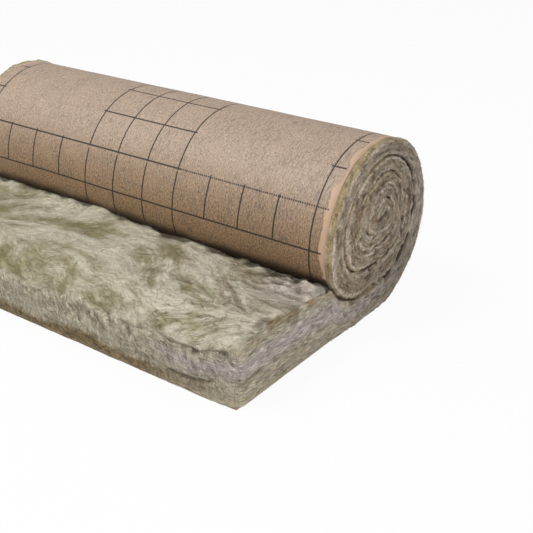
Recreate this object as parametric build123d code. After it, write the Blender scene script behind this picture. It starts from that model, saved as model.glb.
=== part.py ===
from build123d import *
import math
import os

# A blanket of mineral wool with a kraft paper facing, lying on the floor partly unrolled.
# The width runs along X. The open run lies in front of the roll, towards -Y, with the facing
# underneath it, and the facing is on the outside of every turn. The origin is on the floor,
# under the middle of the whole piece. All lengths are in millimetres and all angles in degrees.

# The blanket as it lies open
blanket_width = 1200.0
blanket_thickness = 160.0
nip_thickness = 143.0
open_length = 318.0
front_slope_length = 100.0
front_slope_drop = 45.0

# The facing, a little narrower than the wool at each side
facing_thickness = 0.5
facing_inset = 8.0

# The roll: every turn is squeezed to a share of the turn outside it, down to the curled inner end.
# The turns press on each other, so past the nip the gap between them is a groove in each end.
turn_count = 4
outer_turn_thickness = 60.0
tighten_share = 0.82
turn_gap = 3.0
groove_depth = 12.0
bud_radius = 33.4
eye_radius = 6.0
cut_overrun = 5.0

# Angles around the roll, counted from the back towards the top
top_angle = 90.0
front_angle = 180.0
floor_angle = 270.0

turn_thicknesses = [outer_turn_thickness * tighten_share**turn for turn in range(turn_count)]
turn_radii = [bud_radius + sum(turn_thicknesses[turn:]) for turn in range(turn_count + 1)]
roll_radius = turn_radii[0]
axis_y = open_length / 2
axis_z = roll_radius
front_y = axis_y - roll_radius - open_length


def over_arc(turn, inset):
    """Three quarters of a turn: from the floor side over the back and the top to the front.

    The radius is that of the facing's outer face, less the inset towards the axis.
    """
    radius = turn_radii[turn] - inset
    return CenterArc((axis_y, axis_z), radius, floor_angle, front_angle + top_angle)


def under_edges(turn, inset, start_angle=front_angle):
    """The rest of the turn: a quarter of the next smaller circle, down from the front, and a
    straight run as long as the turn is thick, which ends below the axis.
    """
    radius = turn_radii[turn + 1] - inset
    center = (axis_y - turn_thicknesses[turn], axis_z)
    arc = CenterArc(center, radius, start_angle, floor_angle - start_angle)
    run = Line(arc @ 1, (axis_y, axis_z - radius))
    return [arc, run]


def faced_edges(inset):
    """The face that carries the facing: along the floor, once round the roll and into the nip."""
    floor_run = Line((front_y, inset), (axis_y, inset))
    return [floor_run, over_arc(0, inset)] + under_edges(0, inset)


def inner_turn_edges(inset):
    """The turns inside the outermost one, from below the axis to the curled inner end."""
    edges = []
    for turn in range(1, turn_count):
        edges.append(over_arc(turn, inset))
        edges.extend(under_edges(turn, inset))
    edges.append(over_arc(turn_count, inset))
    return edges


def band(edges, other_edges):
    """The narrow band between two lines that run side by side, closed at both ends."""
    first_end = Line(edges[0] @ 0, other_edges[0] @ 0)
    last_end = Line(edges[-1] @ 1, other_edges[-1] @ 1)
    return Face(Wire(edges + other_edges + [first_end, last_end]))


def strip(section, width):
    """The section, drawn in Y and Z, carried across the width, half to each side."""
    return extrude(Plane.YZ * section, amount=width / 2, both=True)


def blanket_section():
    """The wool from the side: the open run, the roll and the slit of the nip, where the top of the
    open run meets the front of the roll and the facing goes in under it. Towards the nip the open
    run is pressed thinner, and towards the cut front end its top bends down in an arc.
    """
    faced = faced_edges(facing_thickness)
    nip_radius = turn_radii[1] + turn_gap
    nip_rise = math.asin((axis_z - nip_thickness) / nip_radius)
    nip = under_edges(0, -turn_gap, front_angle + math.degrees(nip_rise))
    slit_end = Line(faced[-1] @ 1, nip[-1] @ 1)
    slope_radius = (front_slope_length**2 + front_slope_drop**2) / (2 * front_slope_drop)
    slope_turn = math.degrees(math.asin(front_slope_length / slope_radius))
    slope_center = (front_y + front_slope_length, blanket_thickness - slope_radius)
    slope = CenterArc(slope_center, slope_radius, top_angle, slope_turn)
    top = Line(nip[0] @ 0, slope @ 0)
    front = Line(slope @ 1, faced[0] @ 0)
    return Face(Wire(faced + nip + [slit_end, top, slope, front]))


def turn_groove():
    """The groove in the end at +X that shows the inner turns."""
    section = band(inner_turn_edges(facing_thickness), inner_turn_edges(-turn_gap))
    floor_plane = Plane.YZ.offset(blanket_width / 2 - groove_depth)
    return extrude(floor_plane * section, amount=groove_depth + cut_overrun)


def wool_blanket():
    eye = Pos(axis_y, axis_z) * Circle(eye_radius)
    groove = turn_groove()
    return strip(blanket_section() - eye, blanket_width) - groove - mirror(groove, about=Plane.YZ)


def kraft_facing():
    section = band(faced_edges(0), faced_edges(facing_thickness))
    return strip(section, blanket_width - 2 * facing_inset)


os.makedirs("parts", exist_ok=True)
export_step(wool_blanket(), "parts/wool_blanket.step")
export_step(kraft_facing(), "parts/kraft_facing.step")
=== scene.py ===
"""Looks of a partly unrolled mineral wool blanket with a printed kraft paper facing.

The wool is one closed surface that follows the blanket from its cut front end, along the floor and
round the roll to the curled inner end. The facing is a thin sheet on the outside of every turn.
Loose fibres lie on the bare wool. All lengths are in metres, in the frame of the part.
"""
import math
from functools import partial

import bpy
import numpy as np
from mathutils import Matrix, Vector


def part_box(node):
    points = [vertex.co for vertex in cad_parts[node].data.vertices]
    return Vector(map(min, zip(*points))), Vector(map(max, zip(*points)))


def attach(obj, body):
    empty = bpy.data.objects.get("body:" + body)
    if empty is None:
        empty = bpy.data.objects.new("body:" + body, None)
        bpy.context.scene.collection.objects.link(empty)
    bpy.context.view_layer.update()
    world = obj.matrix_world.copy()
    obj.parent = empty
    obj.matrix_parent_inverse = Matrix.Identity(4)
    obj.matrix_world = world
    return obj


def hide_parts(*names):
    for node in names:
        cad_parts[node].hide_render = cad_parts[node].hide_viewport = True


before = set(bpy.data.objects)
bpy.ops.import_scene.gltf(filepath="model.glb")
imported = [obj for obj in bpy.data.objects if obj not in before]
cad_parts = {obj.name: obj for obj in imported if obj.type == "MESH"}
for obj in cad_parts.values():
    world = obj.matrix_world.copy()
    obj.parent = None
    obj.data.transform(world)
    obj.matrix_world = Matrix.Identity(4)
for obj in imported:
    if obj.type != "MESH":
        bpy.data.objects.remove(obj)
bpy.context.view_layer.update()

MM = 0.001

# Sizes read from the frame
facing_low, facing_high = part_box("kraft_facing")
wool_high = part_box("wool_blanket")[1]
half_width = wool_high.x
facing_half = facing_high.x
roll_radius = (facing_high.z - facing_low.z) / 2
axis_y = facing_high.y - roll_radius
axis_z = facing_low.z + roll_radius
front_y = facing_low.y

# Sizes of the rolled blanket, the same as in the part's source
blanket_thickness = 160 * MM
nip_thickness = 143 * MM
front_slope_length = 100 * MM
front_slope_drop = 45 * MM
facing_thickness = 0.5 * MM
turn_count = 4
outer_turn_thickness = 60 * MM
tighten_share = 0.82
turn_gap = 3 * MM
turn_thicknesses = [outer_turn_thickness * tighten_share**turn for turn in range(turn_count)]
turn_radii = [roll_radius - sum(turn_thicknesses[:turn]) for turn in range(turn_count + 1)]

# The wool keeps this far behind the facing
wool_behind_facing = 2.0 * MM
# The roll settles: its inner turns lie higher and further back than the outer one, and are uneven
settle_up = 38 * MM
settle_back = 26 * MM
settle_uneven = 8 * MM
# The slot-like eye of the inner end
eye_half_width = 4 * MM
eye_half_height = 20 * MM
# The fluff at the nip keeps this far from the paper of the roll
nip_clearance = 1.5 * MM
# How far the cut faces swell past the blanket's nominal size
roll_end_swell = 9 * MM
open_end_swell = 8 * MM
front_swell = 6 * MM
# How far they swell where they meet at a corner, how far from it they blend, and the height over which
# the swell grows from the floor
corner_swell = 4 * MM
corner_reach = 50 * MM
corner_foot = 25 * MM
# The cut front: its height, the foot that the facing keeps straight, and the slant of its pits
front_height = 120 * MM
front_foot = 16 * MM
slant_cos, slant_sin = 0.574, 0.819
# Lengths along the blanket: where the outer turn begins and stops standing proud of the paper at its
# ends, and from where the faced side of a turn is rounded and its gap darkened with painted shade too
outer_turn_from = (0.50, 0.62)
outer_turn_to = (1.66, 1.56)
inner_turn_from = (1.5, 1.7)
faced_gap_from = (1.55, 1.75)

# The printed measuring grid: squares, line width and the place of its first full line
grid_square = 100 * MM
grid_line_width = 4.2 * MM
first_line_angle = math.radians(176.8)
first_line_along = axis_y - front_y + (roll_radius - facing_thickness) * (first_line_angle + math.pi / 2)
grid_rows_per_repeat = 5
# Places on the print, from the middle to either side: the end of the middle block, the start of the
# margins, the start of the rubbed dots, and where the lines round the roll stop and start being shown
# throughout
block_half = 157 * MM
margin_from = 543 * MM
rubbed_from = 160 * MM
inner_ring_to = 200 * MM
outer_ring_from = 500 * MM
# The strip at each edge that is not printed
bare_edge = 11 * MM

# Creases on the bare top: the middle in x and y, the slope and the half length of each
top_creases = [
    (0.415, -0.147, 0.45, 0.055),
    (0.500, -0.255, -0.20, 0.050),
    (0.330, -0.220, 0.30, 0.040),
    (0.530, -0.185, 0.50, 0.040),
    (0.470, -0.320, 0.10, 0.045),
    (0.160, -0.170, 0.50, 0.030),
    (-0.180, -0.200, 0.30, 0.050),
    (-0.420, -0.140, -0.20, 0.045),
]
crease_half_width = 7 * MM
crease_depth = 5 * MM

# A place on the bare top, in x and y, with little binder
pale_spot = (0.370, -0.335)

# Mesh steps
row_step = 5 * MM
open_row_step = 3.5 * MM
fine_line_count = 400
coarse_line_picks = np.array([4, 110, 290, 396])
depth_levels = 24
bud_row_count = 26
facing_line_count = 81
facing_open_pick = 8
facing_rolled_pick = 2

# Loose fibres: how many, how long and how thick, their lean from the grid's columns, the spread of it
# on the open run and in the roll, and how far their ends lift
top_fibre = {
    "count": 16000,
    "length": 42 * MM,
    "thickness": 0.55 * MM,
    "lean": None,
    "spread": (0.5, 0.5),
    "lift": 1.8 * MM,
}
front_fibre = {**top_fibre, "count": 9000, "length": 0.026, "thickness": 0.5 * MM, "lean": -0.95}
end_fibre = {
    "count": 14000,
    "length": 24 * MM,
    "thickness": 0.5 * MM,
    "lean": math.pi / 2,
    "spread": (0.13, 0.35),
    "lift": 1.6 * MM,
}
# The share of the thickness at the faced edge that they keep off, and their gap to the wool
fibre_free_depth = 0.12
fibre_clearance = 0.2 * MM
# The share of their ends that lifts further, and how many times as far
far_end_share = 0.12
far_end_times = 3

# The studio: the floor, and the name, place, power and size of each lamp
WHITE = (1, 1, 1, 1)
floor_half = 12.0
lamps = [("key", (-1.0, -1.6, 3.4), 68, 1.8), ("fill", (2.6, -1.4, 2.0), 22, 2.0)]
lamp_target = (0, 0, 0.15)

# The photograph's camera, with the sensor and the lens in millimetres
camera_place = (1.592, -1.630, 1.116)
camera_azimuth = math.radians(36.35)
camera_elevation = math.radians(26.19)
camera_sensor = 36.0
camera_lens = 63.97


# Noise and small helpers

# Large odd numbers that scatter a lattice corner and a seed
SCATTER_X = 374761393
SCATTER_Y = 668265263
SCATTER_Z = 1440670441
SCATTER_SEED = 974634541
SCATTER_AGAIN = 1274126177


def lattice(corner, seed):
    """A fixed random value from -1 to 1 for each whole-number lattice corner."""
    n = corner[..., 0] * SCATTER_X + corner[..., 1] * SCATTER_Y
    n = n + corner[..., 2] * SCATTER_Z + seed * SCATTER_SEED
    n = (n ^ (n >> 13)) * SCATTER_AGAIN
    n = n ^ (n >> 16)
    return (n & 0xFFFF) / 32767.5 - 1.0


def noise(points, cell, seed):
    """Smooth noise from -1 to 1: lattice values eased between the corners of cells of that size."""
    scaled = points / np.asarray(cell, float)
    base = np.floor(scaled).astype(np.int64)
    part = scaled - base
    part = part**3 * (part * (part * 6 - 15) + 10)
    total = np.zeros(points.shape[:-1])
    for corner in np.ndindex(2, 2, 2):
        weight = np.where(corner, part, 1 - part).prod(axis=-1)
        total += weight * lattice(base + np.array(corner), seed)
    return total


def layered_noise(points, cell, seed, octaves=3):
    """Noise summed over octaves, each half as large and half as strong as the one before."""
    total = np.zeros(points.shape[:-1])
    for octave in range(octaves):
        total += noise(points, np.asarray(cell, float) / 2**octave, seed + octave) / 2**octave
    return total


def line_noise(values, cell, seed):
    """Noise along one line of values."""
    return noise(np.stack([values, np.zeros_like(values), np.zeros_like(values)], -1), cell, seed)


def smooth_step(low, high, value):
    """0 below low, 1 above high, and eased in between."""
    share = np.clip((value - low) / (high - low), 0, 1)
    return share * share * (3 - 2 * share)


def hump(value, middle, half):
    """1 at the middle, falling smoothly to 0 at half to either side."""
    return np.clip(1 - ((value - middle) / half) ** 2, 0, 1) ** 2


def grid_quads(ids, flip=False):
    """Four-cornered faces over a grid of vertex numbers."""
    quads = np.stack([ids[:-1, :-1], ids[1:, :-1], ids[1:, 1:], ids[:-1, 1:]], -1).reshape(-1, 4)
    return quads[:, ::-1] if flip else quads


def vertex_normals(points, quads):
    """Unit normals, each the sum of the normals of the faces around the vertex."""
    face = np.cross(points[quads[:, 2]] - points[quads[:, 0]], points[quads[:, 3]] - points[quads[:, 1]])
    total = np.zeros_like(points)
    for corner in range(4):
        np.add.at(total, quads[:, corner], face)
    return total / np.maximum(np.linalg.norm(total, axis=1, keepdims=True), 1e-12)


def make_piece(name, points, faces, material, attributes=None, uv=None):
    """A smooth mesh object at the origin, riding on the part's one body."""
    mesh = bpy.data.meshes.new(name)
    mesh.from_pydata(points.tolist(), [], faces)
    mesh.shade_smooth()
    for key, values in (attributes or {}).items():
        layer = mesh.attributes.new(key, "FLOAT", "POINT")
        layer.data.foreach_set("value", np.ascontiguousarray(values, np.float32))
    if uv is not None:
        corner_vertices = np.zeros(len(mesh.loops), np.int32)
        mesh.loops.foreach_get("vertex_index", corner_vertices)
        layer = mesh.uv_layers.new(name="sheet")
        layer.uv.foreach_set("vector", uv[corner_vertices].ravel().astype(np.float32))
    mesh.materials.append(material)
    piece = bpy.data.objects.new(name, mesh)
    bpy.context.scene.collection.objects.link(piece)
    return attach(piece, "root")


def flow_angle(place):
    """The heading of the fibres on the bare top, in radians from the roll's axis: wide and small swirls."""
    flat = place * np.array([1.0, 1.0, 0.0])
    return 0.9 * noise(flat, 0.19, 91) + 0.6 * noise(flat, 0.08, 92)


def combed(place, cell, step, count, seed):
    """Noise drawn out along the fibres: its sum over steps to both sides along their heading, brought to a
    mean of 0 and a spread of 1.
    """
    flat = place * np.array([1.0, 1.0, 0.0])
    total = noise(flat, cell, seed)
    for way in (step, -step):
        spot = flat.copy()
        for _ in range(count):
            angle = flow_angle(spot)
            spot = spot + way * np.stack([np.cos(angle), np.sin(angle), np.zeros_like(angle)], -1)
            total += noise(spot, cell, seed)
    return (total - total.mean()) / total.std()


# The path of the blanket, seen from the side

def steps(start, end, length, step=row_step):
    """Evenly spaced values from start up to, but not including, end."""
    return np.linspace(start, end, max(3, math.ceil(length / step)), endpoint=False)


def ring_point(shift, radius, angle):
    """Y and Z at that angle on a circle whose centre lies shift in front of the roll's axis."""
    return np.stack([axis_y - shift + radius * np.cos(angle), axis_z + radius * np.sin(angle)], -1)


def eye_point(angle):
    """Y and Z on the slot-like eye."""
    return np.stack([axis_y + eye_half_width * np.cos(angle), axis_z + eye_half_height * np.sin(angle)], -1)


def level_point(y, z):
    """Y and Z along a level line."""
    return np.stack([y, np.full_like(y, z)], -1)


def blanket_rows():
    """Rows of the blanket from its cut front end to its curled inner end.

    Each row joins a point on the faced side to the point across the wool on the bare side. The faced side
    of a turn is three quarters of a circle over the top, a quarter of the next smaller circle down at the
    front and a level run below the axis. The bare side lies on the faced side of the turn inside it, and
    on the open run it falls in a straight line towards the nip. Returns both lines and the row where the
    nip begins.
    """
    faced, bare = [], []
    nip_radius = turn_radii[1] + turn_gap
    nip_angle = math.pi + math.asin((axis_z - nip_thickness) / nip_radius)
    nip_y = axis_y - turn_thicknesses[0] + nip_radius * math.cos(nip_angle)
    y = steps(front_y, nip_y, nip_y - front_y, open_row_step)
    faced.append(level_point(y, facing_thickness))
    pressed = [front_y + front_slope_length, nip_y], [blanket_thickness, nip_thickness]
    bare.append(np.stack([y, np.interp(y, *pressed)], -1))
    nip_row = len(y)
    angle = steps(nip_angle, 1.5 * math.pi, nip_radius * (1.5 * math.pi - nip_angle), open_row_step)
    bare.append(ring_point(turn_thicknesses[0], nip_radius, angle))
    faced.append(level_point(bare[-1][:, 0], facing_thickness))
    y = steps(axis_y - turn_thicknesses[0], axis_y, turn_thicknesses[0])
    bare.append(level_point(y, axis_z - nip_radius))
    faced.append(level_point(y, facing_thickness))
    for turn, thickness in enumerate(turn_thicknesses):
        radius, inner_radius = turn_radii[turn], turn_radii[turn + 1]
        over = steps(-math.pi / 2, math.pi, radius * 1.5 * math.pi)
        under = steps(math.pi, 1.5 * math.pi, inner_radius * math.pi / 2)
        run = steps(axis_y - thickness, axis_y, thickness)
        faced.append(ring_point(0, radius - facing_thickness, over))
        bare.append(ring_point(0, inner_radius + turn_gap, over))
        faced.append(ring_point(thickness, inner_radius - facing_thickness, under))
        faced.append(level_point(run, axis_z - inner_radius + facing_thickness))
        if turn + 1 < turn_count:
            next_radius = turn_radii[turn + 2] + turn_gap
            next_run = axis_y + (run - axis_y) * turn_thicknesses[turn + 1] / thickness
            bare.append(ring_point(turn_thicknesses[turn + 1], next_radius, under))
            bare.append(level_point(next_run, axis_z - next_radius))
    bud = np.linspace(-math.pi / 2, math.pi, bud_row_count)
    faced.append(ring_point(0, turn_radii[turn_count] - facing_thickness, bud))
    count = len(under) + len(run) + len(bud)
    curl = np.linspace(math.pi, 3 * math.pi, count)
    opening = smooth_step(0, 0.25, np.linspace(0, 1, count))[:, None]
    bud_side = ring_point(0, turn_radii[turn_count] + turn_gap, curl)
    bare.append(bud_side * (1 - opening) + eye_point(curl) * opening)
    return np.concatenate(faced), np.concatenate(bare), nip_row


def settle(points):
    """The inner turns, moved up and back and made uneven. It fades to nothing at the roll's outside."""
    reach = np.hypot(points[:, 1] - axis_y, points[:, 2] - axis_z) / roll_radius
    inside = np.clip(1 - reach, 0, 1)
    uneven = settle_uneven * smooth_step(0.0, 0.35, inside)
    place = points * np.array([0.1, 1, 1])
    moved = points.copy()
    moved[:, 1] += settle_back * inside**3 + uneven * noise(place, 0.09, 71)
    moved[:, 2] += settle_up * np.clip(1 - reach**2, 0, 1) + uneven * noise(place, 0.09, 72)
    return moved


faced_line, bare_line, nip_row = blanket_rows()
row_count = len(faced_line)
row_along = np.concatenate([[0], np.cumsum(np.linalg.norm(np.diff(faced_line, axis=0), axis=1))])
rolled_from = row_along[nip_row]


# The wool blanket

def wool_grids():
    """The closed surface of the wool, as grids of vertex numbers and the place of each vertex.

    Every vertex has a row along the blanket, a place x across it and a depth from 0 on the faced side to 1
    on the bare side. The two ends, the open top and the cut front are fine, and the faces inside the roll
    are coarse.
    """
    depth = np.linspace(0, 1, depth_levels + 1)
    fine = np.linspace(-half_width, half_width, fine_line_count + 1)
    coarse = fine[coarse_line_picks]
    rows = np.arange(row_count)
    places = []

    def block(row, x, level):
        """Adds a grid of vertices and returns their numbers."""
        row, x, level = np.broadcast_arrays(row, x, level)
        start = sum(len(part) for part in places)
        places.append(np.stack([row.ravel(), x.ravel(), level.ravel()], -1).astype(float))
        return start + np.arange(row.size).reshape(row.shape)

    right = block(rows[:, None], half_width, depth[None, :])
    left = block(rows[:, None], -half_width, depth[None, :])
    top_inner = block(rows[: nip_row + 1, None], fine[None, 1:-1], 1.0)
    back_inner = block(rows[nip_row + 1 :, None], coarse[None, :], 1.0)
    edge_inner = block(rows[:1, None], fine[None, 1:-1], 0.0)
    under_inner = block(rows[1:, None], coarse[None, :], 0.0)
    cut_inner = block(0, fine[None, 1:-1], depth[1:-1, None])
    end_inner = block(row_count - 1, coarse[None, :], depth[1:-1, None])

    top = np.hstack([left[: nip_row + 1, -1:], top_inner, right[: nip_row + 1, -1:]])
    back = np.hstack([left[nip_row + 1 :, -1:], back_inner, right[nip_row + 1 :, -1:]])
    edge = np.hstack([left[:1, :1], edge_inner, right[:1, :1]])
    under = np.hstack([left[1:, :1], under_inner, right[1:, :1]])
    cut = np.vstack([edge, np.hstack([left[:1, 1:-1].T, cut_inner, right[:1, 1:-1].T]), top[:1]])
    end = np.vstack([under[-1:], np.hstack([left[-1:, 1:-1].T, end_inner, right[-1:, 1:-1].T]), back[-1:]])
    quads = np.concatenate([
        grid_quads(right),
        grid_quads(left, flip=True),
        grid_quads(top, flip=True),
        grid_quads(back, flip=True),
        grid_quads(under),
        grid_quads(cut, flip=True),
        grid_quads(end),
    ])
    picks = [0, *coarse_line_picks.tolist(), fine_line_count]
    seams = []
    for column, (a, b) in enumerate(zip(picks, picks[1:])):
        seams.append([*top[-1, a : b + 1].tolist(), *back[0, [column + 1, column]].tolist()])
        seams.append([*edge[0, a : b + 1][::-1].tolist(), *under[0, [column, column + 1]].tolist()])
    grids = {"right": right, "left": left, "top": top, "cut": cut}
    return np.concatenate(places), quads, seams, grids


def rounded(x, ahead, height, thickness, side, front, upper, lower):
    """Rounds the edges of the blanket's block.

    A point on the sharp block is pulled onto an ellipsoid around the nearest point of a block that is
    smaller by the edge radii: across the width, back from the cut front, down from the bare side and up
    from the faced side.
    """
    core_x = np.clip(x, -half_width + side, half_width - side)
    core_ahead = np.maximum(ahead, front)
    core_height = np.clip(height, lower, thickness - upper)
    tall = np.where(height > core_height, upper, lower)
    offset = [(x - core_x) / side, (ahead - core_ahead) / front, (height - core_height) / tall]
    offset = np.stack(offset, -1)
    offset /= np.maximum(np.linalg.norm(offset, axis=1, keepdims=True), 1e-9)
    out_x, out_ahead, out_height = offset.T
    return core_x + side * out_x, core_ahead + front * out_ahead, core_height + tall * out_height


def front_fall(along, x):
    """How far the top bends down towards the cut front: the arc of the part's source, which is shallower
    in places along the edge and has a third of its depth at the right corner.
    """
    radius = (front_slope_length**2 + front_slope_drop**2) / (2 * front_slope_drop)
    arc = radius - np.sqrt(radius**2 - np.clip(front_slope_length - along, 0, None) ** 2)
    share = 1.08 + 0.15 * line_noise(x, 0.10, 7) * smooth_step(0.06, 0.0, x)
    share -= 0.40 * hump(x, 0.14, 0.06) + 0.20 * hump(x, 0.375, 0.06) + 0.75 * smooth_step(0.47, 0.60, x)
    return arc * share


def strip_height(x):
    """The height of the brown strip along the bottom of the cut front, which climbs to the right corner."""
    height = 0.029 + 0.005 * line_noise(x, 0.09, 85) + 0.003 * line_noise(x, 0.03, 86)
    return height + 0.014 * hump(x, 0.16, 0.09) + 0.048 * smooth_step(0.44, 0.64, x)


def front_relief(x, z):
    """How far the cut front stands out, the painted shade in its hollows and where its brown strip lies.

    A soft swell, a strip that stands proud at the bottom, brown at the left and fading to the right,
    slanting pits below the upper edge, a torn lip over a crevice near the right corner and a broken split
    along the strip's top. At the floor, where the facing keeps the edge straight, it is even.
    """
    place = np.stack([x, np.zeros_like(x), z], -1)
    slant_x, slant_z = slant_cos * x - slant_sin * z, slant_sin * x + slant_cos * z
    slant = np.stack([slant_x, np.zeros_like(x), slant_z], -1)
    swell = front_swell * (1 - np.abs(2 * z / front_height - 1).clip(0, 1) ** 4)
    strip = smooth_step(0.005, -0.004, z - strip_height(x))
    corner = smooth_step(0.40, 0.50, x)
    ragged = 0.005 * line_noise(x, 0.035, 81) + 0.004 * line_noise(x, 0.013, 87)
    lip_z = 0.126 + 0.022 * smooth_step(0.50, 0.58, x) + ragged
    lip = corner * hump(z, lip_z, 0.020) * (0.75 + 0.25 * line_noise(x, 0.02, 88))
    lip *= smooth_step(0.598, 0.555, x)
    crevice = corner * hump(z, lip_z - 0.022, 0.012) * smooth_step(-0.7, 0.3, line_noise(x, 0.03, 89))
    crevice *= 1 - 0.8 * smooth_step(0.55, 0.59, x)
    split = hump(z, strip_height(x) + 0.3 * ragged, 0.007) * smooth_step(0.36, 0.46, x)
    split *= smooth_step(-0.4, 0.4, line_noise(x, 0.04, 90))
    pit_zone = hump(z, 0.085, 0.036) * (0.35 + 0.65 * hump(x, 0.25, 0.13))
    pits = smooth_step(0.0, 0.55, layered_noise(slant, (0.032, 1, 0.011), 83, 2)) * pit_zone
    relief = swell + 0.004 * strip + 0.016 * lip - 0.010 * crevice - 0.006 * split - 0.007 * pits
    waves = 0.0030 * layered_noise(place, (0.05, 1, 0.03), 84)
    relief += waves + 0.0012 * layered_noise(place, 0.011, 78, 2)
    # Painted shade in the crevice, the split and the pits
    painted_shade = np.clip(0.75 * crevice + 0.5 * split + 0.55 * pits, 0, 1)
    foot = smooth_step(front_foot, 0.0, z)
    brown = strip * (1 - 0.45 * smooth_step(0.32, 0.46, x) - 0.40 * smooth_step(0.48, 0.58, x))
    return relief * (1 - foot) + front_swell * foot, painted_shade, brown


def nip_tangle(place, along):
    """Torn tufts, above 0, and the gaps between them, below 0, at the right end of the nip."""
    ragged = smooth_step(0.36, 0.50, place[:, 0]) * smooth_step(0.13, 0.04, rolled_from - along)
    return ragged * layered_noise(place, (0.026, 0.016, 0.016), 26, 2)


def top_relief(place, along, wisp, cloud, tangle):
    """How far the bare top stands up, and the painted shade in its hollows.

    Lumps and combed wisps, a rise towards the nip away from the right end, ragged tufts along the nip and
    the side edges and short creases. Painted shade darkens it in the nip, in the creases, in gaps between
    tufts and in a line along the side edges.
    """
    x = place[:, 0]
    relief = 0.0045 * noise(place, (0.19, 0.12, 0.12), 21) + 0.0025 * noise(place, 0.05, 22)
    relief += 0.0004 * wisp - 0.0012 * cloud + 0.0010 * layered_noise(place, (0.03, 0.014, 0.014), 23, 2)
    from_nip = rolled_from - along
    relief += (0.002 + 0.016 * smooth_step(0.12, -0.10, x)) * hump(from_nip, 0.0, 0.09)
    tufts = noise(place, (0.030, 0.020, 0.020), 24)
    from_edge = half_width - np.abs(x)
    relief += 0.005 * tufts * (hump(from_nip, 0.01, 0.04) + smooth_step(0.05, 0.01, from_edge))
    # Painted shade in the nip, in a line along the side edges, in the creases and in gaps between torn
    # tufts
    nip_shade = smooth_step(0.022, 0.006, from_nip + 0.010 * tufts)
    edge_shade = hump(from_edge, 0.012, 0.014) * smooth_step(-0.2, 0.5, noise(place, (1.0, 0.035, 1.0), 25))
    crease = np.zeros(len(x))
    for middle_x, middle_y, slope, half in top_creases:
        line = middle_y + slope * (x - middle_x) + 0.010 * tufts
        crease = np.maximum(crease, hump(place[:, 1], line, crease_half_width) * hump(x, middle_x, half))
    relief += 0.006 * tangle - crease_depth * crease
    torn = smooth_step(0.20, 0.70, -tangle)
    return relief, np.clip(nip_shade + 0.8 * edge_shade + 0.7 * crease + 0.6 * torn, 0, 1)


def end_relief(place, along, level, side_sign, pocket):
    """How far a cut side stands out, the painted shade in its hollows and where it has pale ridges.

    A swell across each turn, layers that follow the blanket, pores in the middle of it and crumbs, which
    are stronger where it is squeezed more. On the open run it fades to nothing at the floor. Pale ridges
    lie near both faces of a turn and a weaker one between them. Painted shade darkens the pores, the split,
    the pits between crumbs and the gaps between turns.
    """
    ribbon = np.stack([along, level * blanket_thickness, side_sign * 7.0], -1)
    rolled = smooth_step(rolled_from, rolled_from + 0.10, along)
    swell = np.where(along > rolled_from, roll_end_swell, open_end_swell)
    relief = swell * (1 - np.abs(2 * level - 1) ** 6)
    pores = smooth_step(0.30, 0.80, noise(ribbon, (0.030, 0.016, 1.0), 54)) * hump(level, 0.62, 0.30)
    pores *= 0.35 + 0.65 * rolled
    split_depth = 0.42 + 0.03 * line_noise(along, 0.05, 55)
    split = smooth_step(0.12, 0.04, along) * hump(level, split_depth, 0.05)
    crumbs = 0.12 + 0.23 * rolled + 0.65 * smooth_step(0.9, 2.0, along)
    crumb = layered_noise(place, 0.011, 56, 2)
    waves = layered_noise(ribbon, (0.06, 0.012, 1.0), 51) + noise(ribbon, (0.05, 0.05, 1.0), 53)
    relief += 0.0012 * (0.5 + 0.5 * rolled) * waves
    relief += 0.0038 * crumbs * crumb - 0.0045 * pores - 0.005 * split
    relief *= 1 - (1 - rolled) * smooth_step(0.10, 0.0, level)
    # Painted shade in the pores, the split, the pits between crumbs and the gaps between turns
    pits = crumbs * smooth_step(-0.35, -0.95, crumb)
    gap_depth = 0.35 + 0.65 * pocket
    bare_gap = smooth_step(0.97 - 0.24 * pocket, 0.99 - 0.08 * pocket, level) * gap_depth
    faced_gap = smooth_step(0.04 + 0.08 * pocket, 0.0, level) * gap_depth
    faced_gap *= smooth_step(*faced_gap_from, along)
    painted_shade = (0.25 + 0.25 * rolled) * pores + 0.6 * split + 0.8 * pits + rolled * (bare_gap + faced_gap)
    ridge = hump(level, 0.17, 0.12) + 0.3 * hump(level, 0.5, 0.08) + hump(level, 0.80, 0.12)
    pale = rolled * ridge * (2.2 + 2.2 * noise(ribbon, (0.07, 0.03, 1.0), 57))
    return relief, np.clip(painted_shade, 0, 1), pale


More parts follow.
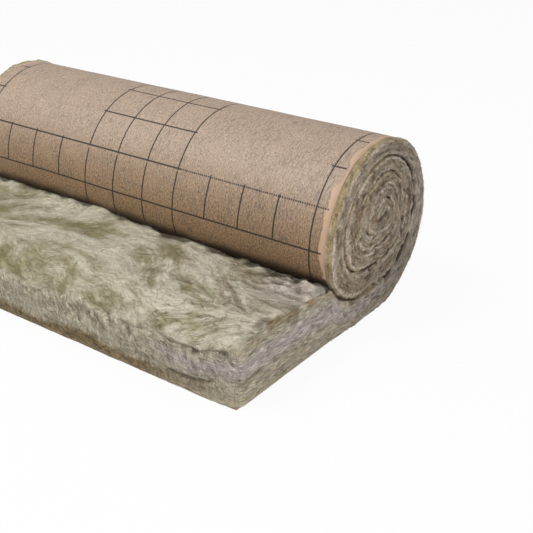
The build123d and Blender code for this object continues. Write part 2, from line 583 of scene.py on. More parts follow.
def wool_blanket(material):
    """The wool's grids, rounded at their edges, with relief along the normals, then settled in the roll."""
    places, quads, seams, grids = wool_grids()
    row = places[:, 0].astype(int)
    x, level = places[:, 1], places[:, 2]
    across = bare_line - faced_line
    row_thickness = np.linalg.norm(across, axis=1)
    direction = across[row] / row_thickness[row][:, None]
    along = row_along[row]
    side_sign = np.sign(x)
    on_side = np.abs(x) > half_width - 1e-6
    rolled = smooth_step(rolled_from - 0.03, rolled_from + 0.12, along)

    # Turns press on each other at the front of the roll and gape in pockets towards its back
    turn_angle = np.arctan2(faced_line[:, 1] - axis_z, faced_line[:, 0] - axis_y)[row]
    edge_place = np.stack([along, side_sign * 3.0, level * 0], -1)
    gape = 0.3 + 0.7 * smooth_step(-0.5, 0.6, np.cos(turn_angle + 0.4))
    open_place = noise(edge_place, 0.04, 57) + 0.6 * noise(edge_place, 0.018, 15)
    pocket = gape * smooth_step(-0.30, 0.35, open_place)
    closing = on_side * rolled * (1 - pocket) * 0.8 * turn_gap
    thickness = row_thickness[row] - front_fall(along, x) + closing
    height = level * thickness
    inner_turn = smooth_step(*inner_turn_from, along)
    turn_upper = np.minimum(0.002 + 0.015 * pocket, 0.35 * thickness)
    turn_lower = np.minimum(0.002 + 0.007 * pocket * inner_turn, 0.35 * thickness)
    open_upper = 0.017 + 0.009 * noise(edge_place, 0.06, 12) + 0.005 * noise(edge_place, 0.02, 14)
    upper = open_upper * (1 - rolled) + turn_upper * rolled
    lower = 0.003 * (1 - rolled) + turn_lower * rolled
    front = 0.016 + 0.006 * line_noise(x, 0.06, 6)
    side = 0.018 * (1 - rolled) + (0.006 + 0.008 * pocket) * rolled
    new_x, new_ahead, new_height = rounded(x, along, height, thickness, side, front, upper, lower)
    # The inner end is cut straight across
    inner_end = (row == row_count - 1) & ~on_side
    new_height[inner_end] = height[inner_end]
    # Outside the paper's edge the outer turn stands proud of the paper
    outer_turn = smooth_step(*outer_turn_from, along) * smooth_step(*outer_turn_to, along)
    proud = 0.0035 * outer_turn * on_side * (0.6 + 0.4 * noise(edge_place, 0.025, 13))
    new_height = new_height - proud * (1 - level) ** 6
    points = np.empty((len(x), 3))
    points[:, 0] = new_x
    points[:, 1:] = faced_line[row] + direction * new_height[:, None]
    points[:, 1] += new_ahead - along

    normals = vertex_normals(points, quads)
    on_front = row == 0
    on_top = (level > 0.999) & (row <= nip_row)
    on_faced = (level < 0.001) & ~on_side & ~on_front
    wisp, cloud, painted_shade, strip, relief = np.zeros((5, len(x)))
    fine_wisp = combed(points[on_top], 0.0050, 0.005, 6, 95)
    wide_wisp = combed(points[on_top], 0.0130, 0.008, 5, 97)
    livelier = 0.58 + 0.52 * smooth_step(0.15, 0.45, x[on_top])
    wisp[on_top] = (0.6 * fine_wisp + 0.8 * wide_wisp) * livelier
    wide_cloud = combed(points[on_top], 0.050, 0.012, 4, 96)
    cloud[on_top] = 0.8 * wide_cloud + 0.5 * combed(points[on_top], 0.022, 0.010, 5, 98)
    # Olive towards the front edge of the top: partly the wool's own tint, partly painted shade on its slope
    cloud[on_top] += 0.6 * smooth_step(0.09, 0.02, along[on_top])
    from_spot = np.hypot(points[on_top, 0] - pale_spot[0], points[on_top, 1] - pale_spot[1])
    cloud[on_top] -= 2.6 * smooth_step(0.10, 0.02, from_spot)
    tangle = nip_tangle(points[on_top], along[on_top])
    wisp[on_top] += 2.0 * tangle
    top_up, top_painted_shade = top_relief(points[on_top], along[on_top], wisp[on_top], cloud[on_top], tangle)
    end_places = points[on_side], along[on_side], level[on_side], side_sign[on_side], pocket[on_side]
    end_out, end_painted_shade, wisp[on_side] = end_relief(*end_places)
    front_out, front_painted_shade, strip[on_front] = front_relief(x[on_front], points[on_front, 2])
    # Relief, and painted shade where the wool is hollow, for the top, the sides and the cut front
    relief[on_top] += top_up
    painted_shade[on_top] = top_painted_shade
    relief[on_side] += end_out
    painted_shade[on_side] = np.maximum(painted_shade[on_side], end_painted_shade)
    relief[on_front] += front_out
    painted_shade[on_front] = np.maximum(painted_shade[on_front], front_painted_shade)
    # At the corner the cut front and a side meet at one height, and half of each pattern runs on round it
    near_corner = on_front * smooth_step(half_width - corner_reach, half_width, np.abs(x))
    near_corner = np.where(on_side, smooth_step(corner_reach, 0.0, along), near_corner)
    relief = relief * (1 - near_corner) + corner_swell * near_corner * smooth_step(0.0, corner_foot, height)
    relief[on_faced] = -wool_behind_facing
    points += normals * relief[:, None]
    points[:, 2] = np.maximum(points[:, 2], facing_thickness)
    # At the nip the fluff lies against the paper of the roll, not in it
    nip_center = np.array([axis_y - turn_thicknesses[0], axis_z])
    from_center = points[on_top, 1:] - nip_center
    reach = np.linalg.norm(from_center, axis=1, keepdims=True)
    points[on_top, 1:] = nip_center + from_center * np.maximum((turn_radii[1] + nip_clearance) / reach, 1)
    points = settle(points)

    fields = {
        "along": along,
        "run": along + on_front * (x - half_width),
        "corner": 0.5 * near_corner,
        "depth": level,
        "height": height,
        "cut_side": on_side.astype(float),
        "cut_front": on_front.astype(float),
        "wisp": wisp,
        "cloud": cloud,
        "painted_shade": painted_shade,
        "strip": strip,
        "tint": np.full(len(x), 0.5),
    }
    piece = make_piece("felted_wool", points, quads.tolist() + seams, material, attributes=fields)
    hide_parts("wool_blanket")
    normals = vertex_normals(points, quads)
    return {
        name: {"points": points[ids], "normals": normals[ids], **{k: v[ids] for k, v in fields.items()}}
        for name, ids in grids.items()
    }


# Loose fibres

def on_grid(field, i, j):
    """A field of a surface grid, read between its points."""
    low_i = np.clip(np.floor(i).astype(int), 0, field.shape[0] - 2)
    low_j = np.clip(np.floor(j).astype(int), 0, field.shape[1] - 2)
    share_i, share_j = i - low_i, j - low_j
    if field.ndim == 3:
        share_i, share_j = share_i[..., None], share_j[..., None]
    near = field[low_i, low_j] * (1 - share_j) + field[low_i, low_j + 1] * share_j
    far = field[low_i + 1, low_j] * (1 - share_j) + field[low_i + 1, low_j + 1] * share_j
    return near * (1 - share_i) + far * share_i


def loose_fibres(name, grid, material, seed, count, length, thickness, lean, spread, lift):
    """Fine strands that lie on a surface grid, each a closed spindle with two rings of three corners.

    A strand starts at a random place, evenly over the area off the faced edge. It heads along the grid's
    columns, turned by lean, or by the heading of the combed top where lean is None, and by a random angle.
    The spread of that angle is given for the open run and for the roll. The strand bends a little, and its
    ends lift off along the surface's normal, some of them further than the rest.
    """
    rng = np.random.default_rng(seed)
    points, normals = grid["points"], grid["normals"]
    down, over = np.diff(points, axis=0)[:, :-1], np.diff(points, axis=1)[:-1]
    area = np.linalg.norm(np.cross(down, over), axis=-1)
    weight = area * (grid["depth"][:-1, :-1] > fibre_free_depth)
    cells = rng.choice(area.size, count, p=(weight / weight.sum()).ravel())
    cell_i, cell_j = np.divmod(cells, area.shape[1])
    down_step = np.linalg.norm(down, axis=-1)[cell_i, cell_j]
    over_step = np.linalg.norm(over, axis=-1)[cell_i, cell_j]
    reach = length * rng.uniform(0.4, 1.3, count)
    place = points[cell_i, cell_j]
    spread = np.interp(grid["along"][cell_i, cell_j], [rolled_from, rolled_from + 0.2], spread)
    angle = flow_angle(place) if lean is None else lean + 1.1 * spread * noise(place, 0.09, seed)
    angle = angle + rng.normal(0, spread, count)
    share = np.array([-0.5, -0.18, 0.18, 0.5])
    bow = rng.normal(0, 0.5, count)[:, None] * (share**2)[None, :] * reach[:, None]
    run = share[None, :] * reach[:, None]
    step_i = (run * np.sin(angle)[:, None] + bow * np.cos(angle)[:, None]) / down_step[:, None]
    step_j = (run * np.cos(angle)[:, None] - bow * np.sin(angle)[:, None]) / over_step[:, None]
    i = np.clip((cell_i + rng.random(count))[:, None] + step_i, 0, points.shape[0] - 1)
    j = np.clip((cell_j + rng.random(count))[:, None] + step_j, 0, points.shape[1] - 1)
    out = on_grid(normals, i, j)
    rise = np.abs(rng.normal(0, lift, (count, 2)))
    rise = rise * np.where(rng.random((count, 2)) < far_end_share, far_end_times, 1)
    first_end, last_end = np.clip(-2 * share, 0, 1) ** 2, np.clip(2 * share, 0, 1) ** 2
    ends = first_end * rise[:, :1] + last_end * rise[:, 1:]
    path = on_grid(points, i, j) + out * (ends + fibre_clearance)[..., None]
    heading = np.gradient(path, axis=1)
    heading /= np.maximum(np.linalg.norm(heading, axis=-1, keepdims=True), 1e-9)
    aside = np.cross(heading, out)
    aside /= np.maximum(np.linalg.norm(aside, axis=-1, keepdims=True), 1e-9)
    above = np.cross(aside, heading)
    turns = np.radians([90, 330, 210])
    radius = thickness / 2 * rng.uniform(0.6, 1.4, count)
    rim = aside[:, 1:3, None] * np.cos(turns)[:, None] + above[:, 1:3, None] * np.sin(turns)[:, None]
    rings = path[:, 1:3, None] + rim * radius[:, None, None, None]
    vertices = np.concatenate([path[:, :1], rings.reshape(count, 6, 3), path[:, 3:]], axis=1)

    corner = np.arange(3)
    after = (corner + 1) % 3
    first_tip = np.stack([np.zeros(3, int), 1 + after, 1 + corner], -1)
    last_tip = np.stack([np.full(3, 7), 4 + corner, 4 + after], -1)
    wall = np.stack([1 + corner, 1 + after, 4 + after, 4 + corner], -1)
    starts = 8 * np.arange(count)[:, None, None]
    triangles = (starts + np.concatenate([first_tip, last_tip])[None]).reshape(-1, 3)
    quads = (starts + wall[None]).reshape(-1, 4)
    tint = np.repeat(np.clip(rng.normal(0.55, 0.25, count), 0, 1), 8)
    fields = {
        key: np.repeat(on_grid(grid[key], cell_i + 0.5, cell_j + 0.5), 8)
        for key in grid
        if key not in ("points", "normals", "tint")
    }
    faces = triangles.tolist() + quads.tolist()
    flat = vertices.reshape(-1, 3)
    flat[:, 2] = np.maximum(flat[:, 2], 0)
    piece = make_piece(name, flat, faces, material, attributes={**fields, "tint": tint})
    return piece


# The kraft paper facing

def kraft_facing(material):
    """A thin closed sheet along the faced side: its outer face, its inner face and the edges between.

    On the roll it waves a little along its normal.
    """
    lines = np.linspace(-facing_half, facing_half, facing_line_count)
    picks = np.unique(np.concatenate([
        np.arange(0, nip_row, facing_open_pick),
        np.arange(nip_row, row_count, facing_rolled_pick),
        [row_count - 1],
    ]))
    line = faced_line[picks]
    tangent = np.gradient(line, axis=0)
    tangent /= np.linalg.norm(tangent, axis=1, keepdims=True)
    outward = np.stack([tangent[:, 1], -tangent[:, 0]], -1)
    along = row_along[picks]
    place = np.stack(np.broadcast_arrays(lines[None, :], along[:, None], np.zeros((1, 1))), -1)
    wave = 0.0012 * noise(place, (0.25, 0.12, 1.0), 61) + 0.0005 * noise(place, (0.06, 0.09, 1.0), 62)
    wave *= smooth_step(0.55, 0.75, along)[:, None]
    outer = line[:, None, :] + outward[:, None, :] * (facing_thickness + wave)[..., None]
    inner = line[:, None, :] + outward[:, None, :] * wave[..., None]
    shape = outer.shape[:2]
    across = np.broadcast_to(lines[None, :, None], shape + (1,))
    faces = [np.concatenate([across, side], -1).reshape(-1, 3) for side in (outer, inner)]
    points = settle(np.concatenate(faces))
    points[:, 2] = np.maximum(points[:, 2], 0)
    ids = np.arange(2 * shape[0] * shape[1]).reshape(2, *shape)
    rim = np.concatenate([ids[:, 0, :-1], ids[:, :-1, -1], ids[:, -1, :0:-1], ids[:, :0:-1, 0]], 1)
    rim = np.hstack([rim, rim[:, :1]])
    quads = np.concatenate([grid_quads(ids[0]), grid_quads(ids[1], flip=True), grid_quads(rim, flip=True)])
    uv = np.stack(np.broadcast_arrays(lines[None, :], along[:, None]), -1).reshape(-1, 2)
    piece = make_piece("paper_facing", points, quads.tolist(), material, uv=np.concatenate([uv, uv]))
    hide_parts("kraft_facing")
    return piece


# Materials

# Settings that many nodes share. A noise of scale 1 reads a place that is scaled before it
SMOOTH = {"interpolation_type": "SMOOTHSTEP"}
COLOUR = {"data_type": "RGBA"}
VECTOR = {"data_type": "VECTOR"}
PLAIN = {"Scale": 1.0, "Detail": 2.0}
FINE = {"Scale": 1.0, "Detail": 3.0}
ROUGH = {"Scale": 1.0, "Detail": 5.0, "Roughness": 0.65}


def linear(code):
    """A colour written as an sRGB hex value, as linear RGBA."""
    channels = [int(code[i : i + 2], 16) / 255 for i in (1, 3, 5)]
    return tuple(c / 12.92 if c <= 0.04045 else ((c + 0.055) / 1.055) ** 2.4 for c in channels) + (1.0,)


def add(tree, kind, *values, sockets=None, **settings):
    """Adds a node and returns its outputs.

    The kind is the node's name, followed by its operation if it has one. The values are set or linked
    to its inputs in their order, and those in sockets by the input's name or number.
    """
    kind, _, operation = kind.partition(" ")
    if operation:
        settings["operation"] = operation
    node = tree.nodes.new("ShaderNode" + kind)
    for name, value in settings.items():
        setattr(node, name, value)
    for key, value in [*enumerate(values), *(sockets or {}).items()]:
        if isinstance(value, bpy.types.NodeSocket):
            tree.links.new(value, node.inputs[key])
        else:
            node.inputs[key].default_value = value
    return node.outputs


def new_material(name):
    """A material without nodes, and the function that adds nodes to it."""
    material = bpy.data.materials.new(name)
    material.use_nodes = True
    material.node_tree.nodes.clear()
    return material, partial(add, material.node_tree)


def mineral_wool():
    """Mineral wool: spun fibres a few micrometres thick, felted in layers and held by a brown binder.

    The eye sees cream fluff with olive clouds on the bare top, slanting knife marks and a brown strip on
    the cut front, and thin khaki, cream and grey layers, crumbly and brown in the roll, on the cut sides.
    It is matt, with a soft sheen.
    """
    material, node = new_material("mineral_wool")
    place = node("TexCoord")["Object"]
    x, y, z = node("SeparateXYZ", place)
    names = ("along", "run", "depth", "height", "cut_side", "cut_front", "corner")
    along, run, depth, high, cut_side, cut_front, corner = [
        node("Attribute", attribute_name=name)["Fac"] for name in names
    ]
    wisp, cloud, painted_shade, strip, tint = [
        node("Attribute", attribute_name=name)["Fac"]
        for name in ("wisp", "cloud", "painted_shade", "strip", "tint")
    ]
    to_right = node("MapRange", x, 0.05, 0.45, **SMOOTH)[0]

    # Tangles about 40 mm across fray every pattern
    fray = node("TexNoise", place, sockets={"Scale": 1 / 0.04, "Detail": 3.0})
    shift = node("VectorMath SUBTRACT", fray["Color"], (0.5,) * 3)[0]
    bent = node("VectorMath MULTIPLY_ADD", shift, (0.05,) * 3, place)[0]
    fray_sign = node("MapRange", fray[0], 0.2, 0.8, -1.0, 1.0)[0]

    # The bare top: clouds of binder, olive where it is thick, under pale combed wisps
    binder = node("Math MULTIPLY_ADD", fray_sign, 1.1, cloud)[0]
    binder = node("Math MULTIPLY_ADD", wisp, -0.35, binder)[0]
    olive = node("MapRange", binder, -1.3, 2.3, 0.0, 0.95, **SMOOTH)[0]
    strands = node("Math MULTIPLY_ADD", fray_sign, 0.6, wisp)[0]
    pale_share = node("MapRange", cut_side, 0.0, 1.0, 0.50, 0.78)[0]
    pale = node("MapRange", strands, 0.2, 2.4, 0.0, pale_share, **SMOOTH)[0]
    dark = node("MapRange", strands, -0.3, -2.4, 0.0, 0.38, **SMOOTH)[0]
    worn = node("Math MULTIPLY_ADD", wisp, -0.5, fray_sign)[0]
    worn = node("MapRange", worn, -0.5, 1.1, 0.0, 0.60, **SMOOTH)[0]
    off_front = node("MapRange", y, -0.32, -0.22, **SMOOTH)[0]
    for share in (to_right, off_front):
        worn = node("Math MULTIPLY", worn, share)[0]
    pink = node("VectorMath DISTANCE", place, (0.54, -0.10, 0.15))["Value"]
    pink = node("MapRange", pink, 0.15, 0.02, 0.0, 0.8, **SMOOTH)[0]
    top = linear("#D4CDB9")
    for share, code in [(olive, "#968C62"), (worn, "#93806A"), (pink, "#CFC3BB")]:
        top = node("Mix", sockets={0: share, 6: top, 7: linear(code)}, **COLOUR)[2]

    # On the cut sides the pattern follows the blanket: layers 6 mm thick that run for 70 mm, stronger in
    # the roll
    end_sign = node("Math SIGN", x)[0]
    ribbon = node("CombineXYZ", along, depth, end_sign)[0]
    drift = node("TexNoise", ribbon, sockets={"Scale": 1 / 0.11, "Detail": 2.0})[0]
    drift = node("Math SUBTRACT", drift, 0.5)[0]
    deep = node("Math MULTIPLY_ADD", drift, 0.22, depth)[0]
    layer = node("CombineXYZ", along, high, end_sign)[0]
    layer = node("VectorMath MULTIPLY", layer, (1 / 0.07, 1 / 0.006, 9.0))[0]
    layer = node("TexNoise", layer, sockets=ROUGH)[0]
    layer_share = node("MapRange", along, 0.45, 0.9, 0.20, 0.85)[0]
    layer_pale = node("MapRange", layer, 0.46, 0.74, 0.0, layer_share, **SMOOTH)[0]
    layer_dark = node("MapRange", layer, 0.48, 0.25, 0.0, layer_share, **SMOOTH)[0]
    grey = node("MapRange", deep, 0.36, 0.60, **SMOOTH)[0]
    grey_fall = node("MapRange", deep, 0.92, 0.70, **SMOOTH)[0]
    grey_left = node("MapRange", along, 0.45, 0.9, 1.0, 0.3)[0]
    for share in (grey_fall, grey_left):
        grey = node("Math MULTIPLY", grey, share)[0]
    skin = node("MapRange", deep, 0.20, 0.0, **SMOOTH)[0]
    crust_share = node("MapRange", fray[0], 0.40, 0.60)[0]
    crust = node("MapRange", deep, 0.84, 1.0, 0.0, crust_share, **SMOOTH)[0]
    # Wool that is squeezed in the roll is browner, in tangles
    squeezed = node("MapRange", along, 0.25, 1.5, 0.0, 1.1)[0]
    tangle = node("MapRange", fray[0], 0.30, 0.70, 0.20, 0.72)[0]
    squeezed = node("Math MULTIPLY", squeezed, tangle, use_clamp=True)[0]
    side = linear("#C5BBA6")
    for share, code in [
        (grey, "#CDC4BB"),
        (skin, "#A09669"),
        (crust, "#A68F6C"),
        (layer_pale, "#D2C8B6"),
        (layer_dark, "#675741"),
        (squeezed, "#8A6F52"),
    ]:
        side = node("Mix", sockets={0: share, 6: side, 7: linear(code)}, **COLOUR)[2]

    # On the cut front knife marks 40 mm long and 6 mm apart slant down to the right
    mark_along = node("VectorMath DOT_PRODUCT", bent, (14.0, 0.0, -20.0))["Value"]
    mark_across = node("VectorMath DOT_PRODUCT", bent, (135.0, 0.0, 95.0))["Value"]
    mark_place = node("CombineXYZ", mark_along, mark_across)[0]
    mark = node("TexNoise", mark_place, sockets=ROUGH)[0]
    mark_pale = node("MapRange", mark, 0.46, 0.74, 0.0, 0.50, **SMOOTH)[0]
    mark_dark = node("MapRange", mark, 0.48, 0.26, 0.0, 0.55, **SMOOTH)[0]
    grey_right = node("MapRange", x, 0.30, 0.46, **SMOOTH)[0]
    grey_right = node("Math MULTIPLY", grey_right, grey)[0]
    front = linear("#C1B8A2")
    for share, code in [(grey_right, "#C0B7AE"), (mark_pale, "#D6CFBE"), (mark_dark, "#6B6046")]:
        front = node("Mix", sockets={0: share, 6: front, 7: linear(code)}, **COLOUR)[2]
    # The brown strip is dense wool with level streaks 60 mm long and 4 mm thick
    streak = node("VectorMath MULTIPLY", bent, (1 / 0.06, 0.0, 1 / 0.004))[0]
    streak = node("TexNoise", streak, sockets=ROUGH)[0]
    streak = node("MapRange", streak, 0.3, 0.7, **SMOOTH)[0]
    brown = node("Mix", sockets={0: streak, 6: linear("#6A5939"), 7: linear("#A18D6B")}, **COLOUR)[2]
    front = node("Mix", sockets={0: strip, 6: front, 7: brown}, **COLOUR)[2]
    # At the corner of the front and a side, each takes on some of the other's pattern
    round_corner = node("Mix", sockets={0: cut_front, 6: front, 7: side}, **COLOUR)[2]

    # Painted shade in cracks 3 mm wide and 60 mm long that part the tufts
    top_crack = node("VectorMath MULTIPLY", bent, (1 / 0.06, 1 / 0.024, 1 / 0.024))[0]
    side_crack = node("VectorMath MULTIPLY", ribbon, (1 / 0.06, 1 / 0.16, 9.0))[0]
    crack = node("Mix", sockets={0: cut_side, 4: top_crack, 5: side_crack}, **VECTOR)[1]
    crack = node("TexNoise", crack, sockets=FINE)[0]
    crack = node("Math SUBTRACT", crack, 0.5)[0]
    crack = node("Math ABSOLUTE", crack)[0]
    crack = node("MapRange", crack, 0.035, 0.0, **SMOOTH)[0]
    crack_right = node("MapRange", to_right, 0.0, 1.0, 0.15, 0.6)[0]
    crack_patch = node("MapRange", fray[0], 0.42, 0.62)[0]
    for share in (crack_right, crack_patch):
        crack = node("Math MULTIPLY", crack, share)[0]
    # Painted shade in the nip, creases, pits, crevices and gaps between turns, mixed in dark brown below
    painted_shade = node("Math MULTIPLY", painted_shade, 0.85)[0]
    # A few yellow specks of binder, 6 mm across, at the right of the top
    speck = node("TexVoronoi", place, sockets={"Scale": 1 / 0.07})["Distance"]
    speck = node("MapRange", speck, 0.07, 0.04, 0.0, 0.7, **SMOOTH)[0]
    speck = node("Math MULTIPLY", speck, to_right)[0]
    for cut in (cut_side, cut_front):
        speck = node("Math SUBTRACT", speck, cut, use_clamp=True)[0]
    pale_colour = {0: cut_side, 6: linear("#DAD4C2"), 7: linear("#D5C6B8")}
    pale_colour = node("Mix", sockets=pale_colour, **COLOUR)[2]
    colour = top
    for share, coat in [
        (cut_side, side),
        (cut_front, front),
        (corner, round_corner),
        (pale, pale_colour),
        (dark, linear("#6F6342")),
        (crack, linear("#5E4C33")),
        (painted_shade, linear("#3C2F1B")),
        (speck, linear("#BE9A42")),
    ]:
        colour = node("Mix", sockets={0: share, 6: colour, 7: coat}, **COLOUR)[2]

    # Crumbs 5 mm across are strong on the roll's ends and faint on the top. On the open cuts they are
    # drawn out to 24 mm: level on the side and at the right of the front, slanting at its left
    level_crumb = node("CombineXYZ", run, high, end_sign)[0]
    level_crumb = node("VectorMath MULTIPLY", level_crumb, (1 / 0.024, 1 / 0.0032, 9.0))[0]
    level_crumb = node("TexNoise", level_crumb, sockets=FINE)[0]
    slant_crumb = node("VectorMath MULTIPLY", mark_place, (2.5, 1.3, 1.0))[0]
    slant_crumb = node("TexNoise", slant_crumb, sockets=FINE)[0]
    crumb = node("TexNoise", place, sockets={"Scale": 1 / 0.005, "Detail": 3.0})[0]
    in_roll = node("MapRange", along, 0.45, 1.2, 0.0, 0.55)[0]
    side_crumb = node("Mix", sockets={0: in_roll, 2: level_crumb, 3: crumb})[0]
    front_crumb = node("Mix", sockets={0: to_right, 2: slant_crumb, 3: level_crumb})[0]
    side_share = node("MapRange", along, 0.45, 1.6, 1.35, 1.8)[0]
    crumb_share = 0.18
    for cut, cut_crumb, cut_share in [(cut_side, side_crumb, side_share), (cut_front, front_crumb, 1.25)]:
        crumb = node("Mix", sockets={0: cut, 2: crumb, 3: cut_crumb})[0]
        crumb_share = node("Mix", sockets={0: cut, 2: crumb_share, 3: cut_share})[0]
    crumb_shade = node("MapRange", crumb, 0.3, 0.7, -0.34, 0.34)[0]
    crumb_shade = node("Math MULTIPLY_ADD", crumb_shade, crumb_share, 1.0)[0]
    # Single fibres are far too fine to show, so they are drawn 1.5 mm wide and 14 to 28 mm long
    top_hair = node("VectorMath MULTIPLY", bent, (1 / 0.014, 1 / 0.0015, 1 / 0.0015))[0]
    side_hair = node("VectorMath MULTIPLY", ribbon, (1 / 0.028, 1 / 0.010, 9.0))[0]
    hair = node("Mix", sockets={0: cut_side, 4: top_hair, 5: side_hair}, **VECTOR)[1]
    hair = node("TexNoise", hair, sockets=PLAIN)[0]
    hair_shade = node("MapRange", hair, 0.25, 0.75, 0.88, 1.12)[0]
    tint_shade = node("MapRange", tint, 0.0, 1.0, 0.82, 1.18)[0]
    # Painted light and shade on the roll's ends: darker at the foot, lighter at the front, darker at the
    # back and at the crown
    on_roll = node("MapRange", along, 0.33, 0.50, **SMOOTH)[0]
    on_roll = node("Math MULTIPLY", on_roll, cut_side)[0]
    painted_roll_shade = node("MapRange", z, 0.02, 0.20, 0.76, **SMOOTH)[0]
    painted_front_light = node("MapRange", y, axis_y - 0.12, axis_y + 0.08, 1.12, 0.97, **SMOOTH)[0]
    painted_crown_shade = node("MapRange", z, 0.33, 0.40, 1.0, 0.93, **SMOOTH)[0]
    for share in (painted_front_light, painted_crown_shade):
        painted_roll_shade = node("Math MULTIPLY", painted_roll_shade, share)[0]
    painted_roll_shade = node("Mix", sockets={0: on_roll, 2: 1.0, 3: painted_roll_shade})[0]
    shade = hair_shade
    for share in (tint_shade, crumb_shade, painted_roll_shade):
        shade = node("Math MULTIPLY", shade, share)[0]
    colour = node("VectorMath SCALE", colour, sockets={"Scale": shade})[0]

    height = node("Math MULTIPLY", crumb, crumb_share)[0]
    height = node("Math MULTIPLY_ADD", hair, 0.15, height)[0]
    normal = node("Bump", sockets={"Height": height, "Strength": 0.45, "Distance": 3 * MM})[0]
    shader = node("BsdfPrincipled", sockets={
        "Base Color": colour,
        "Roughness": 0.95,
        "Specular IOR Level": 0.15,
        "Sheen Weight": 0.12,
        "Sheen Roughness": 0.6,
        "Normal": normal,
    })[0]
    node("OutputMaterial", shader)
    return material


def kraft_paper():
    """Kraft paper: unbleached brown pulp, rolled smooth outside and printed with a thin charcoal grid.

    The eye sees tan paper with fine grey streaks along the web, a clean salmon edge and a soft shine.
    """
    material, node = new_material("kraft_paper")
    sheet = node("UVMap", uv_map="sheet")[0]
    x, along = node("SeparateXYZ", sheet)[:2]
    reach = node("Math ABSOLUTE", x)[0]

    # Grey streaks 2.6 mm wide and 28 mm long run along the web, in clouds 60 mm wide and 120 mm long
    streak = node("VectorMath MULTIPLY", sheet, (1 / 0.0026, 1 / 0.028, 1.0))[0]
    streak = node("TexNoise", streak, sockets={"Scale": 1.0, "Detail": 4.0, "Roughness": 0.7})[0]
    cloud = node("VectorMath MULTIPLY", sheet, (1 / 0.06, 1 / 0.12, 1.0))[0]
    cloud = node("TexNoise", cloud, sockets=FINE)[0]
    grey = node("MapRange", streak, 0.38, 0.80, **SMOOTH)[0]
    grey_cloud = node("MapRange", cloud, 0.3, 0.7, 0.40, 1.10)[0]
    # Painted sheen: the streaks grow greyer towards the right, where the paper shines grey
    painted_sheen_drift = node("MapRange", x, 0.05, 0.50, 0.95, 1.15, **SMOOTH)[0]
    # Towards the floor the paper is browner, with stronger streaks and flecks: partly its own tone, partly
    # painted shade where the roll turns away from the light
    squares = node("Math SUBTRACT", first_line_along, along)[0]
    squares = node("Math DIVIDE", squares, grid_square)[0]
    brown = node("MapRange", squares, 1.7, -0.1, **SMOOTH)[0]
    grey_low = node("MapRange", brown, 0.0, 1.0, 1.0, 1.2)[0]
    for share in (grey_cloud, painted_sheen_drift, grey_low):
        grey = node("Math MULTIPLY", grey, share)[0]
    paper = linear("#BBA48F")
    for share, code in [(brown, "#9B7C5A"), (grey, "#5A534D")]:
        paper = node("Mix", sockets={0: share, 6: paper, 7: linear(code)}, **COLOUR)[2]
    # Dark pulp flecks 2 mm wide and 6 mm long on a smooth ground
    fleck = node("VectorMath MULTIPLY", sheet, (1 / 0.002, 1 / 0.006, 1.0))[0]
    fleck = node("TexNoise", fleck, sockets=PLAIN)[0]
    shade = node("MapRange", fleck, 0.36, 0.74, 1.19, 0.60, **SMOOTH)[0]
    fleck_power = node("MapRange", brown, 0.0, 1.0, 1.0, 1.6)[0]
    shade = node("Math POWER", shade, fleck_power)[0]
    # Painted shade: the paper is darkened where it goes down into the nip
    nip_rise = node("MapRange", x, 0.25, -0.05, 0.0, -0.15, **SMOOTH)[0]
    nip_wave = node("Math MULTIPLY_ADD", cloud, 0.25, squares)[0]
    nip_wave = node("Math ADD", nip_wave, nip_rise)[0]
    nip_shade = node("MapRange", nip_wave, -0.66, -0.36, 0.22, **SMOOTH)[0]
    shade = node("Math MULTIPLY", shade, nip_shade)[0]
    paper = node("VectorMath SCALE", paper, sockets={"Scale": shade})[0]
    # The last 9 mm or so at each edge was never rubbed, and its border is ragged
    edge_wave = node("Math MULTIPLY_ADD", cloud, 0.075, reach)[0]
    edge_wave = node("Math MULTIPLY_ADD", streak, 0.008, edge_wave)[0]
    edge_from = facing_half + 0.0325
    edge = node("MapRange", edge_wave, edge_from - 0.001, edge_from + 0.001, 0.0, 0.80)[0]
    paper = node("Mix", sockets={0: edge, 6: paper, 7: linear("#D3B093")}, **COLOUR)[2]

    # The grid: each repeat has two full lines, and others that show in the middle block and the margins
    half_line = grid_line_width / 2 / grid_square
    ring_place = node("Math MULTIPLY_ADD", reach, 1 / grid_square, 0.5)[0]
    off_line, off_ring = [node("Math PINGPONG", part, 0.5)[0] for part in (squares, ring_place)]
    line, ring = [
        node("MapRange", off, half_line * 1.15, half_line * 0.85)[0] for off in (off_line, off_ring)
    ]
    near_line = node("Math ADD", squares, 0.5)[0]
    repeat = node("Math FLOORED_MODULO", near_line, grid_rows_per_repeat)[0]
    line_shown = node("Math LESS_THAN", repeat, 2.0)[0]
    in_block = node("Math LESS_THAN", reach, block_half)[0]
    in_margin = node("Math GREATER_THAN", reach, margin_from)[0]
    for part in (in_block, in_margin):
        line_shown = node("Math MAXIMUM", line_shown, part)[0]
    line = node("Math MULTIPLY", line, line_shown)[0]
    # To the right of the block the second full line is rubbed down to dots 6 mm apart
    dots = node("Math MULTIPLY", x, 1 / 0.006)[0]
    dots = node("Math PINGPONG", dots, 0.5)[0]
    gap = node("Math LESS_THAN", dots, 0.18)[0]
    rubbed = node("Math GREATER_THAN", x, rubbed_from)[0]
    second = node("Math COMPARE", repeat, 1.5, 0.5)[0]
    for share in (rubbed, second):
        gap = node("Math MULTIPLY", gap, share)[0]
    line = node("Math SUBTRACT", line, gap, use_clamp=True)[0]
    # The lines round the roll show between the two full lines, and throughout in the middle and the
    # margins
    ring_from = node("Math ADD", squares, 0.02)[0]
    ring_repeat = node("Math FLOORED_MODULO", ring_from, grid_rows_per_repeat)[0]
    ring_shown = node("Math LESS_THAN", ring_repeat, 1.07)[0]
    inner_ring = node("Math LESS_THAN", reach, inner_ring_to)[0]
    outer_ring = node("Math GREATER_THAN", reach, outer_ring_from)[0]
    for part in (inner_ring, outer_ring):
        ring_shown = node("Math MAXIMUM", ring_shown, part)[0]
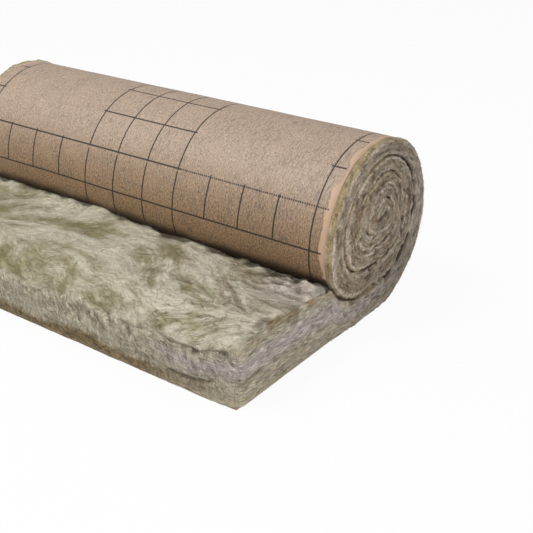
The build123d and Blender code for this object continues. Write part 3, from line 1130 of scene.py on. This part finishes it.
    # Beside the middle they have a break of 4 mm just below the second full line
    ring_break = node("Math COMPARE", ring_repeat, 0.965, 0.02)[0]
    ring_break = node("Math MULTIPLY", ring_break, inner_ring)[0]
    ring_shown = node("Math SUBTRACT", ring_shown, ring_break)[0]
    ring = node("Math MULTIPLY", ring, ring_shown)[0]
    ink = node("Math MAXIMUM", line, ring)[0]
    off_edge = node("Math LESS_THAN", reach, facing_half - bare_edge)[0]
    worn = node("MapRange", streak, 0.25, 0.75, 1.0, 0.85)[0]
    for share in (off_edge, worn):
        ink = node("Math MULTIPLY", ink, share)[0]
    colour = node("Mix", sockets={0: ink, 6: paper, 7: linear("#221E1C")}, **COLOUR)[2]

    roughness = node("MapRange", streak, 0.3, 0.7, 0.50, 0.66)[0]
    normal = node("Bump", sockets={"Height": streak, "Strength": 0.25, "Distance": 0.4 * MM})[0]
    shader = node("BsdfPrincipled", sockets={
        "Base Color": colour,
        "Roughness": roughness,
        "IOR": 1.5,
        "Normal": normal,
    })[0]
    node("OutputMaterial", shader)
    return material


# Stage, light and camera

def stage():
    """A white floor that keeps a faint shadow."""
    material, node = new_material("studio_floor")
    paint = node("BsdfDiffuse", linear("#F2F2F2"))[0]
    glow = node("Emission", WHITE, 1.0)[0]
    seen = node("LightPath")["Is Camera Ray"]
    share = node("Math MULTIPLY", seen, 0.93)[0]
    mixed = node("MixShader", share, paint, glow)[0]
    node("OutputMaterial", mixed)
    corners = [[x * floor_half, y * floor_half, 0] for x, y in [(-1, -1), (1, -1), (1, 1), (-1, 1)]]
    mesh = bpy.data.meshes.new("studio_floor")
    mesh.from_pydata(corners, [], [[0, 1, 2, 3]])
    mesh.materials.append(material)
    floor = bpy.data.objects.new("studio_floor", mesh)
    bpy.context.scene.collection.objects.link(floor)


def light():
    """Soft light from all round, a large lamp above the front left and a weaker one at the right."""
    world = bpy.data.worlds.new("studio")
    bpy.context.scene.world = world
    world.use_nodes = True
    world.node_tree.nodes.clear()
    node = partial(add, world.node_tree)
    seen = node("LightPath")["Is Camera Ray"]
    soft, white = [node("Background", WHITE, strength)[0] for strength in (0.5, 1.0)]
    mixed = node("MixShader", seen, soft, white)[0]
    node("OutputWorld", mixed)
    for name, place, power, size in lamps:
        lamp = bpy.data.lights.new(name, "AREA")
        lamp.energy = power
        lamp.size = size
        holder = bpy.data.objects.new(name, lamp)
        holder.location = place
        holder.rotation_mode = "QUATERNION"
        holder.rotation_quaternion = (Vector(lamp_target) - Vector(place)).to_track_quat("-Z", "Y")
        bpy.context.scene.collection.objects.link(holder)


def camera():
    """The photograph's view: from the front right, a little above."""
    level = math.cos(camera_elevation)
    across, ahead = math.sin(camera_azimuth) * level, math.cos(camera_azimuth) * level
    back = Vector((across, -ahead, math.sin(camera_elevation)))
    lens = bpy.data.cameras.new("camera")
    lens.sensor_width = camera_sensor
    lens.lens = camera_lens
    holder = bpy.data.objects.new("camera", lens)
    holder.location = camera_place
    holder.rotation_mode = "QUATERNION"
    holder.rotation_quaternion = (-back).to_track_quat("-Z", "Y")
    bpy.context.scene.collection.objects.link(holder)
    bpy.context.scene.camera = holder


wool = mineral_wool()
surface = wool_blanket(wool)
kraft_facing(kraft_paper())
for name, face, seed, fibres in [
    ("top_fibres", "top", 101, top_fibre),
    ("front_fibres", "cut", 102, front_fibre),
    ("right_end_fibres", "right", 103, end_fibre),
    ("left_end_fibres", "left", 104, end_fibre),
]:
    loose_fibres(name, surface[face], wool, seed, **fibres)
stage()
light()
camera()
bpy.context.scene.view_settings.view_transform = "Standard"
